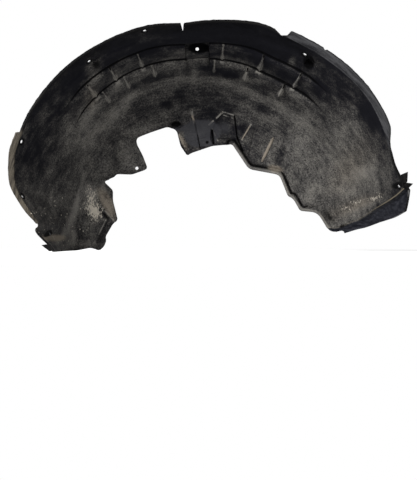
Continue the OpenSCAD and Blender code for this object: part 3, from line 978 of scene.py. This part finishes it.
def grime_and_shade_covers(tree, spot, grain):
    """One after another, the places painted dark for shade and black grime: the painted amount,
    folds, rings of painted shade round the screw holes, and painted shade in the crown's deep
    pocket and round its pad's screw.
    """
    shade = times(attribute(tree, "grime_and_shade"), fade(grain.streaks, 0.3, 0.7, 0.6, 1.2))
    yield fade(shade, 0.05, 0.8, 0.0, 0.95)
    for start, end, half, amount in FOLDS:
        yield times(line(spot, start, end, half), amount)
    # Rings of painted shade round the screw holes' dished seats
    for a, depth in WALL_HOLES:
        if (a, depth) != LEG_HOLE:
            middle = place(a, wall_at(a, depth), depth)
            ring = patch(spot, middle.x, middle.z, RING_R, RING_R, 0, middle.y)
            yield fade(ring, 0.05, 0.45)
    # Painted shade round the leg's hole, in the crown's deep pocket and round the crown pad's
    # screw
    yield fade(patch(spot, *LEG_RING), 0.05, 0.35)
    yield fade(patch(spot, *DEEP_POCKET), 0.1, 0.5)
    round_screw = patch(spot, ORIGIN.x + 3, ORIGIN.z + 2, 30, 15, 0, ORIGIN.y)
    yield fade(round_screw, 0.05, 0.35)


def plastic(tree, colour, rough, height, bumps, gloss):
    """The plastic's surface, with bumps as (strength, distance), joined to the output."""
    bump = node(tree, "Bump", {"Height": height},
                values={"Strength": bumps[0], "Distance": bumps[1]})
    shader = node(tree, "BsdfPrincipled",
                  {"Base Color": colour, "Roughness": rough, "Normal": bump.outputs[0]},
                  values={"IOR": 1.49, "Specular IOR Level": gloss})
    node(tree, "OutputMaterial", {"Surface": shader.outputs[0]})


def wheel_side():
    """Black moulded polypropylene on the wheel side: matt, under road dust and dried mud, with
    painted shade in corners, folds and holes, and painted highlights below the steps, on the ribs
    and on the end bead.
    """
    material, tree = plain_material("dusty_polypropylene_with_painted_light")
    spot = millimetres(tree, ORIGIN)
    parts = node(tree, "SeparateXYZ", {0: spot})
    x, y, z = (parts.outputs[k] for k in "XYZ")
    turned = math_node("DEGREES", math_node("ARCTAN2", z, x))
    below = math_node("LESS_THAN", turned, -90.0)
    angle = times_plus(below, 360.0, turned)
    radius = times_plus(x, x, times(z, z))
    radius = math_node("SQRT", radius)

    # Broad drifts, blotches, a fine speckle, and streaks that run round the arch
    round_arch = node(tree, "CombineXYZ", {
        "X": math_node("DIVIDE", angle, 7.0), "Y": math_node("DIVIDE", radius, 5.0)})
    streaks = node(tree, "TexNoise", {"Vector": round_arch.outputs[0]},
                   values={"Scale": 1, "Detail": 3, "Roughness": 0.6})
    grain = Grain(mottle(spot, 90, 4, 0.52), mottle(spot, 22, 5, 0.62),
                  mottle(spot, 3.2, 4, 0.85), streaks.outputs["Fac"])
    film = dust_and_light_film(tree, spot, grain)
    colour = dusted_colour(tree, film, grain)

    # The clean end panel, and the thin bead along the end line, painted light: a painted highlight
    # where it catches the light, and dust
    past_line = past_end_line(angle, y)
    panel = fade(past_line, 11.9, 11.6)
    scuff = fade(mottle(spot, 20, 5, 0.7, (1, 1, 3)), 0.35, 0.75)
    colour = blend(panel, colour, blend(scuff, "#17181e", "#3b3c42"))
    lit_dusty_bead = times(fade(past_line, 11.9, 12.0), fade(past_line, 12.4, 12.1))
    lit_dusty_bead = times(lit_dusty_bead, fade(y, 60, 170, 0.7, 0.15))
    colour = blend(lit_dusty_bead, colour, "#8d8370")

    flange = fade(y, SHEET_T + 0.1, SHEET_T - 0.8)
    colour = blend(flange, colour, flange_colour(angle, grain))
    mud = dried_mud(tree, spot, grain)
    colour = blend(mud, colour, blend(grain.speckle, "#a79d8e", "#efe8da"))
    # Painted shade, black before each step, in folds, round holes and in pockets, together with
    # black grime
    grime_and_shade = times(step_corners(angle, y), 0.97)
    for cover in grime_and_shade_covers(tree, spot, grain):
        grime_and_shade = most(grime_and_shade, cover)
    colour = blend(grime_and_shade, colour, "#030304")

    rough = times_plus(film, 0.25, 0.62)
    rough = times_plus(panel, -0.15, rough)
    mould_grain = mottle(spot, 1.2, 2, 0.6)
    relief = add_up(((0.35, grain.speckle), (0.5, mould_grain), (0.8, mud)))
    plastic(tree, colour, rough, relief, (0.35, 0.0009), 0.03)
    return material


def body_side(name, worn):
    """Black moulded polypropylene away from the wheel: cleaner, with a faint film and grain."""
    material, tree = plain_material(name)
    spot = millimetres(tree)
    broad = mottle(spot, 80, 5, 0.6)
    blotch = mottle(spot, 18, 5, 0.7)
    film = fade(add_up(((0.6, broad), (0.5, blotch))), 0.45, 0.80)
    rough = times_plus(film, 0.22, 0.50)
    mould_grain = mottle(spot, 1.4, 2, 0.6)
    plastic(tree, blend(film, "#1b1b1d", worn), rough, mould_grain, (0.3, 0.0006), 0.5)
    return material


LINER_MATERIALS = (
    wheel_side(),
    body_side("bare_polypropylene", "#4a4743"),
    body_side("cut_polypropylene", "#3a3a3b"),
)


def dress(obj, index=0):
    """Gives a piece the liner's materials, all of it in the one with that index."""
    for material in LINER_MATERIALS:
        obj.data.materials.append(material)
    for face in obj.data.polygons:
        face.material_index = index


shell = build_shell()
dress(shell)
thicken(shell, SHEET_T)
cut(shell, "opening", prism(eased(LEG_EDGE + LIP_EDGE + BELOW), STEP_DEPTH, SIDE_DEPTH + 60))
cut(shell, "leg_end", prism(LEG_END, -20, STEP_DEPTH + 1))
for outline in NOTCHES:
    cut(shell, "notch", prism(eased(outline, 1.5), -20, 45))
for angle, depth in WALL_HOLES:
    cut(shell, "bore", drill(wall_matrix(angle, depth)))
face_on = Matrix.Rotation(math.radians(90), 4, "X")
cut(shell, "crown_bore", drill(Matrix.Translation(ORIGIN) @ face_on))
cut(shell, "tab_bore", drill(Matrix.Translation((TAB_HOLE[0], SIDE_DEPTH, TAB_HOLE[1])) @ face_on))
# The blind dimple of the centre tab, sunk from where the wheel side lies there
above = (Vector((TAB_DIMPLE[0], 0, TAB_DIMPLE[1])) - ORIGIN) * MM
surface = shell.ray_cast(above, Vector((0, 1, 0)))[1] / MM + ORIGIN
middle = surface + Vector((0, DIMPLE_DEPTH - DIMPLE_BIT / 2, 0))
cut(shell, "tab_dimple", drill(Matrix.Translation(middle) @ face_on, DIMPLE_D, DIMPLE_BIT), 0)
smooth(shell, 35)
crisp = shell.modifiers.new("crisp", "WEIGHTED_NORMAL")
crisp.keep_sharp = True
apply_modifiers(shell)


# The rolled inner lip across its width, as (outwards from the cut edge, towards the wheel)
LIP_PROFILE = (
    (0.0, -1.5), (-0.3, 2.5), (0.0, 5.2), (1.1, 6.8), (2.8, 7.3), (4.6, 6.6), (5.6, 4.8),
    (5.9, 2.4), (6.0, 0.2),
)


def build_lip():
    """A rolled lip along the right part of the inner edge."""
    path = [Vector(p) for p in LIP_EDGE]
    fine = []
    for start, end in zip(path, path[1:]):
        count = max(2, round((end - start).length / 6))
        fine += [start.lerp(end, k / count) for k in range(count)]
    fine.append(path[-1])
    for _ in range(2):
        inner = [(fine[i - 1] + fine[i] * 2 + fine[i + 1]) / 4 for i in range(1, len(fine) - 1)]
        fine = [fine[0]] + inner + [fine[-1]]

    def spot(i, j):
        run = (fine[min(i + 1, len(fine) - 1)] - fine[max(i - 1, 0)]).normalized()
        out = Vector((-run.y, run.x))
        across, up = LIP_PROFILE[j]
        p = fine[i] + out * across
        height = up * (0.85 + 0.15 * noise.noise(Vector((i * 0.3, 0, 5))))
        return Vector((p.x, SIDE_DEPTH - height, p.y))

    obj = mesh_object("rolled_lip", sheet_grid(len(fine) - 1, len(LIP_PROFILE) - 1, spot))
    dress(obj)
    thicken(obj, 1.2)
    smooth(obj, 50)
    return obj


lip = build_lip()


# Torn ears by the right end of the rim and at the foot of the left leg, as outlines
EARS = (
    ((370, 104), (374, 107), (386, 112), (385, 93), (378, 84)),
    ((374, 90), (385, 91), (396, 89), (388, 81), (378, 80)),
    ((-318, -29), (-306, -27), (-296, -40), (-303, -41)),
)


def build_ears():
    """Flat torn ears with rounded edges."""
    joined = bmesh.new()
    for outline in EARS:
        one = prism(outline, 0, SHEET_T)
        round_edges(one, one.edges[:], 0.6, 2)
        join_in(joined, one)
    return mesh_object("torn_ears", joined)


# Raised welts on the side wall as (start, end, width, height), and how far they reach into it
WELT_ROOT = 0.8
WELTS = (
    ((95, 234), (76, 201), 3.0, 2.6), ((146, 207), (120, 153), 6.5, 3.4),
    ((-34, 257), (-28, 240), 4.5, 2.4),
)


def lengthwise(bm, longer):
    """Edges that run further than that along X."""
    return [e for e in bm.edges if abs(e.verts[0].co.x - e.verts[1].co.x) > longer]


def build_welts():
    """Welts of the side wall: rounded bars with tapered ends."""
    joined = bmesh.new()
    for start, end, width, height in WELTS:
        start, end = Vector(start), Vector(end)
        run = end - start
        one = bmesh.new()
        bmesh.ops.create_cube(one, size=1)
        bmesh.ops.subdivide_edges(one, edges=lengthwise(one, 0.5), cuts=11)
        for v in one.verts:
            taper = 1 - 0.55 * (2 * abs(v.co.x)) ** 4
            v.co = Vector((v.co.x * run.length, (v.co.y - 0.5) * height * taper + WELT_ROOT,
                           v.co.z * width * taper))
            v.co.z += 0.5 * noise.noise(Vector((v.co.x * 0.12, start.x, 0)))
        round_edges(one, lengthwise(one, 1), 0.3 * width, 3)
        middle = (start + end) / 2
        turn = Matrix.Rotation(-math.atan2(run.y, run.x), 4, "Y")
        spot = Matrix.Translation((middle.x, SIDE_DEPTH, middle.y)) @ turn
        bmesh.ops.transform(one, matrix=spot, verts=one.verts)
        join_in(joined, one)
    obj = mesh_object("side_welts", joined)
    smooth(obj, 50)
    return obj


ears = build_ears()
welts = build_welts()
dress(ears)
dress(welts)


paint(shell)
paint(lip, more_dust=0.35, wiped_left_of=LIP_CLEAN_END)
paint(ears)
paint(welts, more_dust=0.62, earthy=1.0)
for piece in (shell, lip, ears, welts):
    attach(piece, "root")
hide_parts("liner")

# The floor, just under the lowest point of the liner: white, with the liner's own shadow
FLOOR_HALF = 1400.0
FLOOR_GAP = 1.0
lowest = min(cad_low[2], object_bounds()[0][2])
floor_mesh = bmesh.new()
bmesh.ops.create_grid(floor_mesh, x_segments=1, y_segments=1, size=FLOOR_HALF)
under = ORIGIN + Vector((0, 0, lowest / MM - FLOOR_GAP))
bmesh.ops.translate(floor_mesh, verts=floor_mesh.verts, vec=under)
floor = mesh_object("floor", floor_mesh)


def seen_directly(tree):
    """1 for what the camera sees, straight or in a glossy or clear surface."""
    ray = node(tree, "LightPath")
    seen = most(ray.outputs["Is Camera Ray"], ray.outputs["Is Glossy Ray"])
    return most(seen, ray.outputs["Is Transmission Ray"])


def mix_shaders(share, one, other):
    links = {0: share, 1: one.outputs[0], 2: other.outputs[0]}
    return node(share.id_data, "MixShader", links)


# Paper that glows a little, so that it stays white and still takes the liner's shadow
paper, tree = plain_material("white_paper")
matt = node(tree, "BsdfDiffuse", values={"Color": (0.8, 0.8, 0.8, 1)})
glow = node(tree, "Emission", values={"Color": (1, 1, 1, 1), "Strength": 0.74})
plain = node(tree, "Emission", values={"Color": (1, 1, 1, 1), "Strength": 1.0})
shaded = node(tree, "AddShader", {0: matt.outputs[0], 1: glow.outputs[0]})
here = node(tree, "TexCoord").outputs["Object"]
centre = node(tree, "VectorMath", {0: here}, operation="SUBTRACT")
centre.inputs[1].default_value = (0, 0, lowest)
far = fade(distance(centre.outputs[0]), 0.5, 0.9)
edge = mix_shaders(far, shaded, plain)
both = mix_shaders(seen_directly(tree), matt, edge)
node(tree, "OutputMaterial", {"Surface": both.outputs[0]})
floor.data.materials.append(paper)

scene = bpy.context.scene
world = bpy.data.worlds.new("studio")
world.use_nodes = True
tree = world.node_tree
tree.nodes.clear()
soft = node(tree, "Background", values={"Color": (1, 1, 1, 1), "Strength": 0.17})
white = node(tree, "Background", values={"Color": (1, 1, 1, 1), "Strength": 1.0})
both = mix_shaders(seen_directly(tree), soft, white)
node(tree, "OutputWorld", {"Surface": both.outputs[0]})
scene.world = world


def lamp(name, spot, aim, size, power):
    """A soft square lamp at a place in metres about the wheel centre, aimed at another."""
    data = bpy.data.lights.new(name, "AREA")
    data.shape = "RECTANGLE"
    data.size, data.size_y = size
    data.energy = power
    obj = add_object(name, data)
    obj.location = Vector(spot) - ORIGIN * MM
    obj.rotation_euler = (Vector(aim) - Vector(spot)).to_track_quat("-Z", "Y").to_euler()


lamp("key", (-1.5, -1.7, 1.3), (0.1, 0.1, 0.1), (0.9, 0.9), 72)
lamp("fill", (1.2, -2.3, -0.05), (-0.1, 0.1, 0.1), (1.2, 1.2), 16)

# The camera stands level, 1.6 m in front of the rim's plane
CAMERA_GAP = 1600.0
MM_PER_PIXEL = 1.92
FRAME_H = 480
SENSOR = 36.0
view = bpy.data.cameras.new("view")
view.sensor_fit = "VERTICAL"
view.sensor_height = SENSOR
view.lens = SENSOR * CAMERA_GAP / (FRAME_H * MM_PER_PIXEL)
camera = add_object("view", view)
camera.location = (Vector((2.88, -CAMERA_GAP, -19.2)) - ORIGIN) * MM
camera.rotation_euler = Euler((math.radians(90), 0, 0))
scene.camera = camera
scene.view_settings.view_transform = "Standard"
